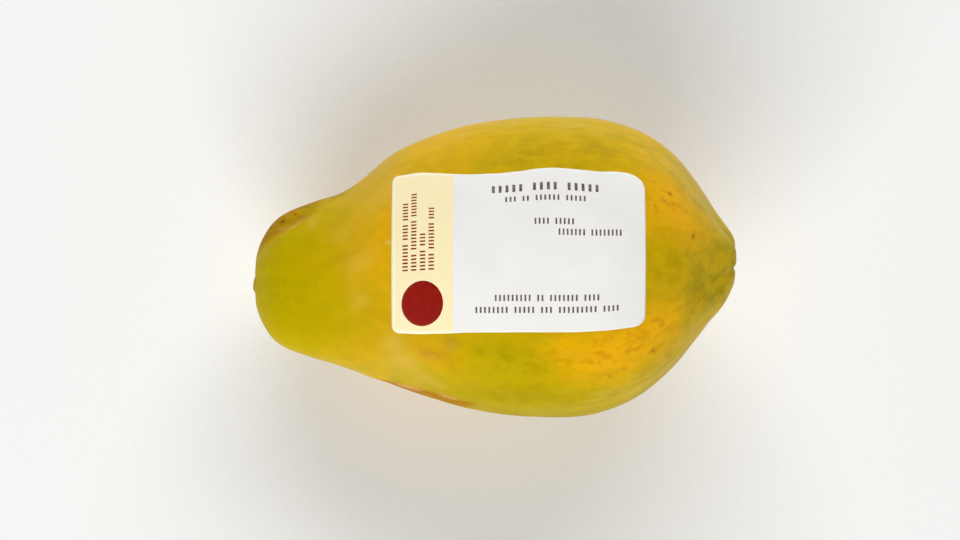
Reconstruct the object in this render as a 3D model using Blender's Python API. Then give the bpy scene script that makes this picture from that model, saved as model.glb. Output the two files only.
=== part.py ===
"""A ripe, pear-shaped papaya lying on its side, with the paper label that is stuck on its upper side.

Metres, +Z up. +X runs along the fruit, from its stem end to its blossom end, and the fruit bows towards +Y.
The origin is on the surface that the fruit lies on, below the middle of its bounding box.
A place along the fruit is a share of its length, 0 at the stem end and 1 at the blossom end.
A place around it is an angle, 0 towards +Y and 90 degrees straight up.
"""

import math
from bisect import bisect_right

import bmesh
import bpy
from mathutils import Vector

# Driving dimensions
FRUIT_LENGTH = 0.150
BELLY_RADIUS = 0.0466
SECTION_HEIGHT_SHARE = 0.97
STEM_END_DIP = math.radians(6.0)
FLAT_SPOT_DEPTH = 0.0010

# Half outline from the middle of the stem scar to the middle of the blossom scar: share of the length, and
# share of the belly radius
OUTLINE = (
    (0.0000, 0.000),
    (0.0020, 0.045),
    (0.0095, 0.074),
    (0.0060, 0.142),
    (0.0125, 0.230),
    (0.0240, 0.307),
    (0.0420, 0.388),
    (0.0700, 0.453),
    (0.1200, 0.515),
    (0.1800, 0.580),
    (0.2400, 0.679),
    (0.3000, 0.782),
    (0.3700, 0.872),
    (0.4600, 0.952),
    (0.5500, 0.991),
    (0.6400, 0.999),
    (0.7200, 0.975),
    (0.8000, 0.881),
    (0.8670, 0.723),
    (0.9130, 0.550),
    (0.9500, 0.386),
    (0.9800, 0.258),
    (0.9980, 0.150),
    (0.9975, 0.070),
    (0.9890, 0.000),
)
STEPS_PER_SPAN = 2
SEGMENTS_AROUND = 70

# How far the middle of each section lies towards +Y, as a share of the belly radius
BOW = (
    (0.000, -0.096),
    (0.050, -0.098),
    (0.165, -0.088),
    (0.240, -0.054),
    (0.300, -0.013),
    (0.400, 0.000),
    (0.640, 0.000),
    (0.765, 0.012),
    (0.890, 0.036),
    (0.940, 0.024),
    (0.973, 0.008),
    (1.000, 0.024),
)

# Both end scars sit off the middle of their end, towards -Y. The shift dies away with distance from the scar.
# Both are shares of the belly radius
SCAR_OFFSET = 0.045
SCAR_REACH = 0.20

# Five soft lobes run the length of the fruit: their height as a share of the local radius, how creased the
# valleys are from 0 to 1, and the angle of one valley in degrees
LOBES = 5
LOBE_HEIGHT = (
    (0.00, 0.020),
    (0.06, 0.024),
    (0.20, 0.012),
    (0.40, 0.007),
    (0.65, 0.006),
    (0.86, 0.014),
    (1.00, 0.060),
)
LOBE_SHARPNESS = ((0.00, 0.5), (0.10, 0.5), (0.25, 0.1), (0.80, 0.1), (0.95, 0.7), (1.00, 1.0))
LOBE_VALLEY = ((0.00, 41.0), (0.10, 41.0), (0.35, 54.0), (0.65, 54.0), (1.00, 29.0))

# Two hollows: the crease that the stalk's pull left in the neck, and the dip where the neck meets the +Y
# shoulder. Each has a depth in metres, a middle and a reach along the fruit, its angle by place, and a width
HOLLOWS = (
    (0.0009, 0.075, 0.055, ((0.03, 41.0), (0.09, 31.0), (0.19, 17.0)), 7.0),
    (0.0009, 0.210, 0.045, ((0.00, 0.0),), 50.0),
)

# Slow waves that keep the upper and lower sides from being turned shapes: times around, times along, phase
UNEVEN_SHARE = 0.005
UNEVEN_WAVES = ((2, 1.3, 0.6), (3, 2.1, 2.2), (1, 3.0, 4.0))

# Paper label, laid on the upper side with its long edge along the fruit
LABEL_LENGTH = 0.0786
LABEL_WIDTH = 0.0525
LABEL_PULLED_IN = ((0.00, 1.000), (0.30, 0.962), (0.65, 0.982), (0.85, 0.948), (1.00, 0.900))
LABEL_STEM_CORNER = 0.0025
LABEL_BLOSSOM_CORNER = 0.0040
LABEL_MIDDLE_ALONG = 0.542
LABEL_MIDDLE_AROUND = math.radians(82.4)
LABEL_LEAN = math.radians(1.6)
LABEL_THICKNESS = 0.0004
LABEL_GAP = 0.0003
LABEL_CELLS_LONG = 20
LABEL_CELLS_WIDE = 14
LABEL_CORNER_SEGMENTS = 4

# Stretch of the fruit that the label may lie on, and the number of points that measure its curved length
LABEL_GROUND = (0.20, 0.92)
LABEL_GROUND_POINTS = 145


def clear_scene():
    """Remove every object that the file opened with."""
    for thing in list(bpy.data.objects):
        bpy.data.objects.remove(thing, do_unlink=True)


def spline_value(a, b, c, d, u):
    """Value at a share u of the way from b to c on a Catmull-Rom spline through four values."""
    bend = 2 * a - 5 * b + 4 * c - d
    twist = 3 * (b - c) + d - a
    return 0.5 * (2 * b + (c - a) * u + bend * u**2 + twist * u**3)


def spline_through(points, steps):
    """Points of a Catmull-Rom spline through 2D points, with this many steps in each span."""
    first = tuple(2 * a - b for a, b in zip(points[0], points[1]))
    last = tuple(2 * a - b for a, b in zip(points[-1], points[-2]))
    ends = (first, *points, last)
    curve = []
    for span in zip(ends, ends[1:], ends[2:], ends[3:]):
        for step in range(steps):
            curve.append(tuple(spline_value(*values, step / steps) for values in zip(*span)))
    return [*curve, points[-1]]


def smooth_value(stations, along):
    """The value at a place along the fruit, eased from one station to the next."""
    places = [place for place, _ in stations]
    if along <= places[0]:
        return stations[0][1]
    if along >= places[-1]:
        return stations[-1][1]
    i = bisect_right(places, along) - 1
    slopes = [station_slope(stations, k) for k in (i, i + 1)]
    (x0, y0), (x1, y1) = stations[i], stations[i + 1]
    span = x1 - x0
    u = (along - x0) / span
    return (
        y0 * (1 + 2 * u) * (1 - u) ** 2
        + slopes[0] * span * u * (1 - u) ** 2
        + y1 * u**2 * (3 - 2 * u)
        + slopes[1] * span * u**2 * (u - 1)
    )


def station_slope(stations, index):
    """Slope of the eased curve at a station: level at the ends and at a peak or a trough."""
    if index in (0, len(stations) - 1):
        return 0.0
    (xa, ya), (x, y), (xb, yb) = stations[index - 1 : index + 2]
    before, after = (y - ya) / (x - xa), (yb - y) / (xb - x)
    if before * after <= 0:
        return 0.0
    return 2 * before * after / (before + after)


HALF_OUTLINE = spline_through(OUTLINE, STEPS_PER_SPAN)


def outline_radius(along):
    """Radius of the fruit's turned form, in metres, at a place between its two blunt ends."""
    for (x0, r0), (x1, r1) in zip(HALF_OUTLINE, HALF_OUTLINE[1:]):
        if x0 <= along <= x1 and x1 > x0:
            return BELLY_RADIUS * (r0 + (r1 - r0) * (along - x0) / (x1 - x0))
    raise ValueError(f"{along} is not a place along the fruit")


def lobe_wave(along, around):
    """Height of the lobes, from about -1 in a valley to 1 on a ridge, with creased valleys near the ends."""
    turn = (around - math.radians(smooth_value(LOBE_VALLEY, along))) * LOBES / (2 * math.pi)
    soft = -math.cos(2 * math.pi * turn)
    creased = 2 * abs(math.sin(math.pi * turn)) - 4 / math.pi
    return soft + (creased - soft) * smooth_value(LOBE_SHARPNESS, along)


def hollow_depth(along, around):
    """Depth of the two hollows at a place on the skin, in metres."""
    total = 0.0
    for depth, middle, reach, path, width in HOLLOWS:
        angle = math.radians(smooth_value(path, along))
        off_around = math.remainder(around - angle, 2 * math.pi) / math.radians(width)
        off_along = (along - middle) / reach
        total += depth * math.exp(-off_around * off_around - off_along * off_along)
    return total


def unevenness(along, around):
    """Slow waves as a share of the radius. They fade out at the two sides, so the width stays true."""
    waves = sum(math.sin(k * around + 2 * math.pi * m * along + phase) for k, m, phase in UNEVEN_WAVES)
    return UNEVEN_SHARE * waves * math.sin(around) ** 2


def fruit_point(along, around, radius):
    """Place of a point of the turned form once it has its lobes, hollows, bow and dip."""
    lobes = lobe_wave(along, around) * smooth_value(LOBE_HEIGHT, along)
    near_scar = max(0.0, 1 - radius / (SCAR_REACH * BELLY_RADIUS)) ** 2
    reach = radius * (1 + lobes + unevenness(along, around))
    reach -= hollow_depth(along, around) * (1 - near_scar)
    middle = (smooth_value(BOW, along) - SCAR_OFFSET * near_scar) * BELLY_RADIUS
    x = along * FRUIT_LENGTH
    y = middle + reach * math.cos(around)
    z = x * math.tan(STEM_END_DIP) + reach * SECTION_HEIGHT_SHARE * math.sin(around)
    return Vector((x, y, z))


def skin_point(along, around, proud=0.0):
    """Place of a point on the skin between the two blunt ends, or this far proud of it."""
    step = 0.001
    here = fruit_point(along, around, outline_radius(along))
    if not proud:
        return here
    forth = fruit_point(along + step, around, outline_radius(along + step)) - here
    round_it = fruit_point(along, around + step, outline_radius(along)) - here
    return here + round_it.cross(forth).normalized() * proud


def new_object(name, mesh_data, material):
    """Link a new object with this bmesh and material, and free the bmesh."""
    mesh = bpy.data.meshes.new(name)
    mesh_data.to_mesh(mesh)
    mesh_data.free()
    mesh.materials.append(material)
    mesh.shade_smooth()
    thing = bpy.data.objects.new(name, mesh)
    bpy.context.scene.collection.objects.link(thing)
    return thing


def new_material(name, colour, roughness):
    """A non-metallic Principled material."""
    material = bpy.data.materials.new(name)
    material.use_nodes = True
    shader = material.node_tree.nodes["Principled BSDF"]
    shader.inputs["Base Color"].default_value = (*colour, 1.0)
    shader.inputs["Roughness"].default_value = roughness
    shader.inputs["Metallic"].default_value = 0.0
    return material


def build_fruit():
    """The fruit in one piece: its half outline turned about its length, then given its grown form."""
    shape = bmesh.new()
    profile = [shape.verts.new((along, 0.0, share)) for along, share in HALF_OUTLINE]
    edges = [shape.edges.new(pair) for pair in zip(profile, profile[1:])]
    bmesh.ops.spin(
        shape,
        geom=[*profile, *edges],
        cent=(0.0, 0.0, 0.0),
        axis=(1.0, 0.0, 0.0),
        angle=2 * math.pi,
        steps=SEGMENTS_AROUND,
        use_merge=True,
    )
    bmesh.ops.remove_doubles(shape, verts=shape.verts, dist=1e-5)
    for vertex in shape.verts:
        along, across, up = vertex.co
        around = math.atan2(up, across)
        vertex.co = fruit_point(along, around, math.hypot(across, up) * BELLY_RADIUS)
    bmesh.ops.recalc_face_normals(shape, faces=shape.faces)
    skin = new_material("papaya_skin", (0.62, 0.39, 0.012), 0.45)
    return new_object("papaya_fruit", shape, skin)


def label_surface_points():
    """Function from a place on the flat label to its place on the fruit, kept just proud of the skin."""
    first, last = LABEL_GROUND
    step = (last - first) / (LABEL_GROUND_POINTS - 1)
    ridge = [first + step * i for i in range(LABEL_GROUND_POINTS)]
    places = [skin_point(along, LABEL_MIDDLE_AROUND) for along in ridge]
    run = [0.0]
    for here, there in zip(places, places[1:]):
        run.append(run[-1] + (there - here).length)
    middle = run[round((LABEL_MIDDLE_ALONG - first) / step)]

    def place(lengthwise, crosswise):
        i = bisect_right(run, middle + lengthwise)
        along = ridge[i - 1] + step * (middle + lengthwise - run[i - 1]) / (run[i] - run[i - 1])
        share = lengthwise / LABEL_LENGTH + 0.5
        middle_around = LABEL_MIDDLE_AROUND + LABEL_LEAN * (share - 0.5)
        across = crosswise * smooth_value(LABEL_PULLED_IN, share)
        return skin_point(along, middle_around + across / outline_radius(along), LABEL_GAP)

    return place


def build_label():
    """The paper label: a flat sheet with rounded corners, curved to the skin and given its thickness."""
    sheet = bmesh.new()
    bmesh.ops.create_grid(sheet, x_segments=LABEL_CELLS_LONG, y_segments=LABEL_CELLS_WIDE, size=0.5)
    for vertex in sheet.verts:
        vertex.co.x *= LABEL_LENGTH
        vertex.co.y *= LABEL_WIDTH
    corners = [vertex for vertex in sheet.verts if len(vertex.link_edges) == 2]
    for radius, side in ((LABEL_STEM_CORNER, -1), (LABEL_BLOSSOM_CORNER, 1)):
        bmesh.ops.bevel(
            sheet,
            geom=[vertex for vertex in corners if vertex.is_valid and vertex.co.x * side > 0],
            affect="VERTICES",
            offset=radius,
            offset_type="OFFSET",
            segments=LABEL_CORNER_SEGMENTS,
            profile=0.5,
            material=-1,
        )
    place = label_surface_points()
    for vertex in sheet.verts:
        vertex.co = place(vertex.co.x, vertex.co.y)
    bmesh.ops.recalc_face_normals(sheet, faces=sheet.faces)
    if sum(face.normal.z for face in sheet.faces) < 0:
        bmesh.ops.reverse_faces(sheet, faces=sheet.faces)
    paper = new_material("label_paper", (0.87, 0.86, 0.82), 0.6)
    label = new_object("paper_label", sheet, paper)
    thickness = label.modifiers.new("paper thickness", "SOLIDIFY")
    thickness.thickness = LABEL_THICKNESS
    thickness.offset = 1.0
    thickness.use_even_offset = True
    return label


def set_down(fruit, label):
    """Bring the fruit down onto a small flat spot, with the origin below the middle of its box."""
    points = [vertex.co for vertex in fruit.data.vertices]
    low = Vector(min(point[axis] for point in points) for axis in range(3))
    high = Vector(max(point[axis] for point in points) for axis in range(3))
    middle = (low + high) / 2
    move = Vector((-middle.x, -middle.y, -low.z - FLAT_SPOT_DEPTH))
    for thing in (fruit, label):
        for vertex in thing.data.vertices:
            vertex.co += move
            vertex.co.z = max(vertex.co.z, 0.0)
    label.parent = fruit


def main():
    """Model the fruit and its label."""
    clear_scene()
    fruit = build_fruit()
    label = build_label()
    set_down(fruit, label)


main()
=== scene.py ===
"""A ripe papaya with a paper label on its upper side, dressed for a soft studio picture.

Lengths are in metres. +X runs from the stem end of the fruit to its blossom end, and +Z is up. A place along
the fruit is a share of its length. A place around it is an angle: 0 towards +Y and 90 degrees straight up.
"""

import logging
import math
import random
from bisect import bisect_right
from dataclasses import dataclass, field
from enum import Enum
from functools import cache, cached_property
from typing import ClassVar, NamedTuple, Self

import bmesh
import bpy
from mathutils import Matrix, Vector, noise


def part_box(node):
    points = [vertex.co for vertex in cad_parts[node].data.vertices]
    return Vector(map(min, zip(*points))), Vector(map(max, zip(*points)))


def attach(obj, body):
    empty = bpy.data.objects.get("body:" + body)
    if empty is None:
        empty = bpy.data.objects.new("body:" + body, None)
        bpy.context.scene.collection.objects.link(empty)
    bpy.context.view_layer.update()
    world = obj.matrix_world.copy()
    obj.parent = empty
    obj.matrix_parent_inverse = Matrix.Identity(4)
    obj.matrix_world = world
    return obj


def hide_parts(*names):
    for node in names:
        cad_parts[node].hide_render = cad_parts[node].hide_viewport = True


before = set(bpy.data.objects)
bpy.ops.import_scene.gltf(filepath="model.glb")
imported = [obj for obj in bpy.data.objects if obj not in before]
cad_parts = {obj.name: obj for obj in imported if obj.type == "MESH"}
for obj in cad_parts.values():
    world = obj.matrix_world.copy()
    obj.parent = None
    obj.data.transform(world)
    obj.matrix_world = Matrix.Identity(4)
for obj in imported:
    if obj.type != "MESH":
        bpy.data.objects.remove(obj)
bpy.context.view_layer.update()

FRUIT_NODE = "papaya_fruit"
LABEL_NODE = "paper_label"
BODY = "root"
MM = 0.001
WELD = 1e-6
STEM_END = 0.1
BLOSSOM_END = 0.9
LOG = logging.getLogger("papaya")
SHEET_MAP = "sheet"
FLOW = "flow"

Colour = tuple[float, float, float]
Stations = tuple[tuple[float, float], ...]
Socket = bpy.types.NodeSocket
Material = bpy.types.Material
Piece = bpy.types.Object
Shape = bmesh.types.BMesh
Feed = Socket | Vector | tuple[float, ...] | float


def linear(red: int, green: int, blue: int) -> Colour:
    """Turn a display colour into a linear one.

    Args:
        red: red from 0 to 255, as a screen shows it.
        green: green from 0 to 255.
        blue: blue from 0 to 255.

    Returns:
        The three linear values, from 0 to 1.
    """

    def channel(value: int) -> float:
        """Undo the curve of a screen for one channel."""
        share = value / 255
        return share / 12.92 if share <= 0.04045 else ((share + 0.055) / 1.055) ** 2.4

    return channel(red), channel(green), channel(blue)


class EasedCurve:
    """A smooth curve through stations, level at its two ends and at each peak and trough."""

    def __init__(self, *stations: tuple[float, float]) -> None:
        """Work out the slope at each station.

        Args:
            stations: pairs of a place and a value, in order of place.
        """
        self.places = [place for place, _ in stations]
        self.values = [value for _, value in stations]
        rises = [
            (self.values[i + 1] - self.values[i]) / (self.places[i + 1] - self.places[i])
            for i in range(len(stations) - 1)
        ]
        inner = [2 * a * b / (a + b) if a * b > 0 else 0.0 for a, b in zip(rises, rises[1:])]
        self.slopes = [0.0, *inner, 0.0]

    @cache
    def __call__(self, place: float) -> float:
        """Give the value at a place, or the nearest end's value outside the stations.

        Args:
            place: where to read the curve.

        Returns:
            The value there.
        """
        if place <= self.places[0]:
            return self.values[0]
        if place >= self.places[-1]:
            return self.values[-1]
        i = bisect_right(self.places, place) - 1
        span = self.places[i + 1] - self.places[i]
        u = (place - self.places[i]) / span
        back = (1 - u) ** 2
        ahead = u**2
        start = self.values[i] * (1 + 2 * u) * back + self.slopes[i] * span * u * back
        end = self.values[i + 1] * ahead * (3 - 2 * u) + self.slopes[i + 1] * span * ahead * (u - 1)
        return start + end


def spline_value(a: float, b: float, c: float, d: float, u: float) -> float:
    """Read a Catmull-Rom spline.

    Args:
        a: the value before the span.
        b: the value at the span's start.
        c: the value at the span's end.
        d: the value after the span.
        u: the share of the way from b to c.

    Returns:
        The value there.
    """
    bend = 2 * a - 5 * b + 4 * c - d
    twist = 3 * (b - c) + d - a
    return 0.5 * (2 * b + (c - a) * u + bend * u**2 + twist * u**3)


def spline_through(points: Stations, steps: int) -> list[tuple[float, float]]:
    """Draw a Catmull-Rom spline through points.

    Args:
        points: the points to pass through.
        steps: how many steps each span gets.

    Returns:
        The points along the spline, both ends included.
    """
    first = tuple(2 * a - b for a, b in zip(points[0], points[1]))
    last = tuple(2 * a - b for a, b in zip(points[-1], points[-2]))
    ends = (first, *points, last)
    curve = []
    for span in zip(ends, ends[1:], ends[2:], ends[3:]):
        for step in range(steps):
            curve.append(tuple(spline_value(*values, step / steps) for values in zip(*span)))
    return [*curve, points[-1]]


class Place(NamedTuple):
    """A place on the skin: share of the length, angle in radians and radius on the turned form."""

    along: float
    around: float
    radius: float


@dataclass(frozen=True)
class Hollow:
    """A shallow hollow along the skin, whose path and width are in degrees around it."""

    depth: float
    middle: float
    reach: float
    path: EasedCurve
    width: float

    def at(self, along: float, around: float) -> float:
        """Give the depth of the hollow at a place on the skin.

        Args:
            along: place along the fruit, as a share.
            around: place around the fruit, in radians.

        Returns:
            The depth, in metres.
        """
        aside = math.remainder(around - math.radians(self.path(along)), math.tau)
        off_around = aside / math.radians(self.width)
        off_along = (along - self.middle) / self.reach
        return self.depth * math.exp(-off_around * off_around - off_along * off_along)


@dataclass(frozen=True)
class FruitForm:
    """The grown form of the fruit, as the frame has it, with the fine relief that only shows close by."""

    length: float
    reach: float = 0.9994
    belly_share: float = 0.0466 / 0.150
    flow_share: float = 0.8
    section_height_share: float = 0.97
    stem_end_dip: float = math.radians(6.0)
    flat_spot_depth: float = 1.0 * MM
    outline: Stations = (
        (0.0000, 0.000), (0.0020, 0.045), (0.0095, 0.074), (0.0060, 0.142), (0.0125, 0.230),
        (0.0240, 0.307), (0.0420, 0.388), (0.0700, 0.453), (0.1200, 0.515), (0.1800, 0.580),
        (0.2400, 0.679), (0.3000, 0.782), (0.3700, 0.872), (0.4600, 0.952), (0.5500, 0.991),
        (0.6400, 0.999), (0.7200, 0.975), (0.8000, 0.881), (0.8670, 0.723), (0.9130, 0.550),
        (0.9500, 0.386), (0.9800, 0.258), (0.9980, 0.150), (0.9975, 0.070), (0.9890, 0.000),
    )
    stem_rim_station: int = 3
    steps_per_span: int = 9
    bow: EasedCurve = EasedCurve(
        (0.000, -0.096), (0.050, -0.098), (0.165, -0.088), (0.240, -0.054), (0.300, -0.013), (0.400, 0.000),
        (0.640, 0.000), (0.765, 0.012), (0.890, 0.036), (0.940, 0.024), (0.973, 0.008), (1.000, 0.024),
    )
    scar_offset: float = 0.045
    scar_reach: float = 0.20
    lobes: int = 5
    lobe_height: EasedCurve = EasedCurve(
        (0.00, 0.020), (0.06, 0.024), (0.20, 0.012), (0.40, 0.007), (0.65, 0.006), (0.86, 0.014),
        (1.00, 0.060),
    )
    lobe_sharpness: EasedCurve = EasedCurve(
        (0.00, 0.50), (0.10, 0.50), (0.25, 0.10), (0.80, 0.10), (0.95, 0.70), (1.00, 1.00)
    )
    lobe_valley: EasedCurve = EasedCurve((0.0, 41.0), (0.1, 41.0), (0.35, 54.0), (0.65, 54.0), (1.0, 29.0))
    hollows: tuple[Hollow, ...] = (
        Hollow(0.9 * MM, 0.075, 0.055, EasedCurve((0.03, 41.0), (0.09, 31.0), (0.19, 17.0)), 7.0),
        Hollow(0.9 * MM, 0.210, 0.045, EasedCurve((0.00, 0.0)), 50.0),
    )
    uneven_share: float = 0.005
    uneven_waves: tuple[tuple[float, float, float], ...] = ((2, 1.3, 0.6), (3, 2.1, 2.2), (1, 3.0, 4.0))
    dents: tuple[tuple[float, float], ...] = ((14.0 * MM, 0.16 * MM), (5.0 * MM, 0.05 * MM))
    calm_radius: float = 6 * MM
    folds: int = 22
    fold_height: float = 0.22 * MM
    fold_reach: float = 4.5 * MM
    fold_peak: float = 0.7
    fold_fading: float = 3.0
    crease_depth: float = 0.60 * MM
    crease_width: float = 0.45
    crease_reach: float = 5.0 * MM
    end_slant: float = 0.55 * MM
    stub_radius: float = 3.4 * MM
    stub_roughness: float = 0.30 * MM

    @cached_property
    def belly_radius(self) -> float:
        """Radius of the fruit at its fullest."""
        return self.length * self.belly_share

    @cached_property
    def half_outline(self) -> list[tuple[float, float]]:
        """Points of the half outline, from the middle of the stem scar to that of the blossom scar."""
        return spline_through(self.outline, self.steps_per_span)

    @cached_property
    def flank(self) -> tuple[list[float], list[float]]:
        """Trace the half outline between its two blunt ends, where it only runs forward.

        Returns:
            The places along it, and its radius there as a share of the fullest.
        """
        start = self.stem_rim_station * self.steps_per_span
        points = [self.half_outline[start]]
        for point in self.half_outline[start:]:
            if point[0] > points[-1][0]:
                points.append(point)
        return [along for along, _ in points], [share for _, share in points]

    def radius(self, along: float) -> float:
        """Radius of the turned form at a place between its two blunt ends.

        Args:
            along: place along the fruit, as a share.

        Returns:
            The radius, in metres.
        """
        places, shares = self.flank
        i = min(max(bisect_right(places, along), 1), len(places) - 1)
        rest = (along - places[i - 1]) / (places[i] - places[i - 1])
        return self.belly_radius * (shares[i - 1] + (shares[i] - shares[i - 1]) * rest)

    def flow(self, place: Place) -> Vector:
        """Place on the fruit as if it were as wide all along, which markings that follow its growth use."""
        radius = self.flow_share * self.belly_radius
        return Vector(
            (place.along * self.length, radius * math.cos(place.around), radius * math.sin(place.around))
        )

    def relief(self, place: Place) -> float:
        """Height of the fine relief: soft dents, and folds round the stem.

        Args:
            place: the place on the skin.

        Returns:
            The height, in metres.
        """
        spread = self.flow(place)
        height = sum(deep * noise.noise(spread / size) for size, deep in self.dents)
        if place.along < STEM_END:
            beyond = (place.radius - self.stub_radius) / self.fold_reach
            fading = math.exp(-((beyond - self.fold_peak) ** 2) * self.fold_fading)
            height += self.fold_height * math.cos(self.folds * place.around) * fading
        return height * min(1.0, place.radius / self.calm_radius)

    def lobe_turn(self, along: float, around: float) -> float:
        """Say how many lobes a place lies past the first valley."""
        return (around - math.radians(self.lobe_valley(along))) * self.lobes / math.tau

    def lobe_wave(self, along: float, around: float) -> float:
        """Height of the lobes at a place on the skin.

        Args:
            along: place along the fruit, as a share.
            around: place around the fruit, in radians.

        Returns:
            A number from about -1 in a valley to 1 on a ridge.
        """
        turn = self.lobe_turn(along, around)
        soft = -math.cos(math.tau * turn)
        creased = 2 * abs(math.sin(math.pi * turn)) - 4 / math.pi
        return soft + (creased - soft) * self.lobe_sharpness(along)

    def end_crease(self, place: Place) -> float:
        """How far the blossom end is drawn in: along its creases, and over all of its -Y side.

        Args:
            place: the place on the skin.

        Returns:
            The depth along the fruit, in metres.
        """
        if place.along < BLOSSOM_END:
            return 0.0
        turn = self.lobe_turn(place.along, place.around)
        narrow = math.exp(-((math.sin(math.pi * turn) / self.crease_width) ** 2))
        share = place.radius / self.crease_reach
        slant = self.end_slant * max(0.0, -math.cos(place.around))
        return (self.crease_depth * narrow + slant) * share * math.exp(1 - share)

    def point(self, place: Place) -> Vector:
        """Place a point of the turned form as it grew, with rough faces on its stub and its blossom scar.

        Args:
            place: the place on the turned form.

        Returns:
            The grown place, before the fruit is set down.
        """
        along, around, radius = place
        lobes = self.lobe_wave(along, around) * self.lobe_height(along)
        waves = sum(math.sin(k * around + math.tau * m * along + phase) for k, m, phase in self.uneven_waves)
        uneven = self.uneven_share * waves * math.sin(around) ** 2
        near_scar = max(0.0, 1 - radius / (self.scar_reach * self.belly_radius)) ** 2
        hollows = sum(hollow.at(along, around) for hollow in self.hollows)
        reach = radius * (1 + lobes + uneven) - hollows * (1 - near_scar) + self.relief(place)
        middle = (self.bow(along) - self.scar_offset * near_scar) * self.belly_radius
        x = along * self.length - self.end_crease(place)
        if radius < self.stub_radius:
            cut_place = Vector((along, radius * math.cos(around), radius * math.sin(around)))
            x += self.stub_roughness * noise.noise(cut_place / MM)
        y = middle + reach * math.cos(around)
        z = x * math.tan(self.stem_end_dip) + reach * self.section_height_share * math.sin(around)
        return Vector((x, y, z))

    def skin(self, along: float, around: float, proud: float = 0.0) -> Vector:
        """Place a point on the skin, or proud of it.

        Args:
            along: place along the fruit, as a share.
            around: place around the fruit, in radians.
            proud: distance out from the skin, in metres.

        Returns:
            The place, before the fruit is set down.
        """
        step = 0.001
        here = self.point(Place(along, around, self.radius(along)))
        forth = self.point(Place(along + step, around, self.radius(along + step))) - here
        round_it = self.point(Place(along, around + step, self.radius(along))) - here
        return here + round_it.cross(forth).normalized() * proud


class ShaderTree:
    """A node tree that is built one named step at a time."""

    def __init__(self, tree: bpy.types.NodeTree) -> None:
        """Take an empty node tree."""
        self.tree = tree

    def node(
        self, kind: str, inputs: dict[str | int, Feed] | None = None, **settings: object
    ) -> bpy.types.Node:
        """Add a node.

        Args:
            kind: the node's type name, without the word that all shader nodes start with.
            inputs: values or sockets for its inputs, by name or number.
            settings: values for its properties.

        Returns:
            The new node.
        """
        name = kind if kind.startswith("Node") else f"ShaderNode{kind}"
        made = self.tree.nodes.new(name)
        for key, value in settings.items():
            setattr(made, key, value)
        self.feed(made, inputs or {})
        return made

    def feed(self, node: bpy.types.Node, inputs: dict[str | int, Feed]) -> None:
        """Set or link the inputs of a node.

        Args:
            node: the node.
            inputs: for each input, by name or number, a plain value, a colour or the output to link.
        """
        for key, value in inputs.items():
            socket = node.inputs[key]
            if isinstance(value, Socket):
                self.tree.links.new(value, socket)
            elif socket.type == "RGBA":
                socket.default_value = (*value, 1.0)
            else:
                socket.default_value = value

    def math(self, operation: str, *values: Feed, clamp: bool = False) -> Socket:
        """Add a Math node with these values, and with its result clamped to 0 to 1 if asked."""
        return self.node("Math", dict(enumerate(values)), operation=operation, use_clamp=clamp).outputs[0]

    def times(self, *values: Feed) -> Socket:
        """Multiply, and keep the result from 0 to 1.

        Args:
            values: the values and sockets.

        Returns:
            The product.
        """
        product = values[0]
        for value in values[1:]:
            product = self.math("MULTIPLY", product, value, clamp=True)
        return product

    def blend(self, share: Feed, under: Feed, over: Feed) -> Socket:
        """Mix two colours: at a share of 0 the one under shows, and at 1 the one over it."""
        inputs = {0: share, 6: under, 7: over}
        return self.node("Mix", inputs, data_type="RGBA", clamp_factor=True).outputs[2]

    def between(self, value: Feed, low: Feed, high: Feed, start: float = 0.0, end: float = 1.0) -> Socket:
        """Ease from start, where the value is low, to end, where it is high."""
        inputs = {"Value": value, "From Min": low, "From Max": high, "To Min": start, "To Max": end}
        return self.node("MapRange", inputs, interpolation_type="SMOOTHSTEP").outputs[0]

    def attribute(self, name: str, output: str = "Fac") -> Socket:
        """Read what is painted on the mesh: Fac for a number, or Vector for a place."""
        return self.node("Attribute", attribute_name=name).outputs[output]


class MaterialTree(ShaderTree):
    """The node tree of a new material."""

    def __init__(self, name: str) -> None:
        """Start a material.

        Args:
            name: the material's name.
        """
        self.material = bpy.data.materials.new(name)
        self.material.use_nodes = True
        super().__init__(self.material.node_tree)

    def dressed(self, inputs: dict[str, Feed]) -> Material:
        """Give the shader its inputs, by name, and hand over the material."""
        self.feed(self.tree.nodes["Principled BSDF"], inputs)
        return self.material

    def bump(self, height: Socket, strength: float, distance: float) -> Socket:
        """Turn a height, of this strength and this distance in metres, into a normal."""
        return self.node("Bump", {"Height": height, "Strength": strength, "Distance": distance}).outputs[0]


def new_group(
    name: str, inputs: dict[str, str], outputs: dict[str, str]
) -> tuple[ShaderTree, dict[str, Socket], bpy.types.Node]:
    """Start a shader node group.

    Args:
        name: the group's name.
        inputs: socket types by name.
        outputs: socket types by name.

    Returns:
        The group's tree, its input sockets by name, and its output node.
    """
    group = bpy.data.node_groups.new(name, "ShaderNodeTree")
    for side, sockets in (("INPUT", inputs), ("OUTPUT", outputs)):
        for socket, kind in sockets.items():
            group.interface.new_socket(socket, in_out=side, socket_type=f"NodeSocket{kind}")
    tree = ShaderTree(group)
    entry = tree.node("NodeGroupInput")
    return tree, {socket: entry.outputs[socket] for socket in inputs}, tree.node("NodeGroupOutput")


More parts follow.
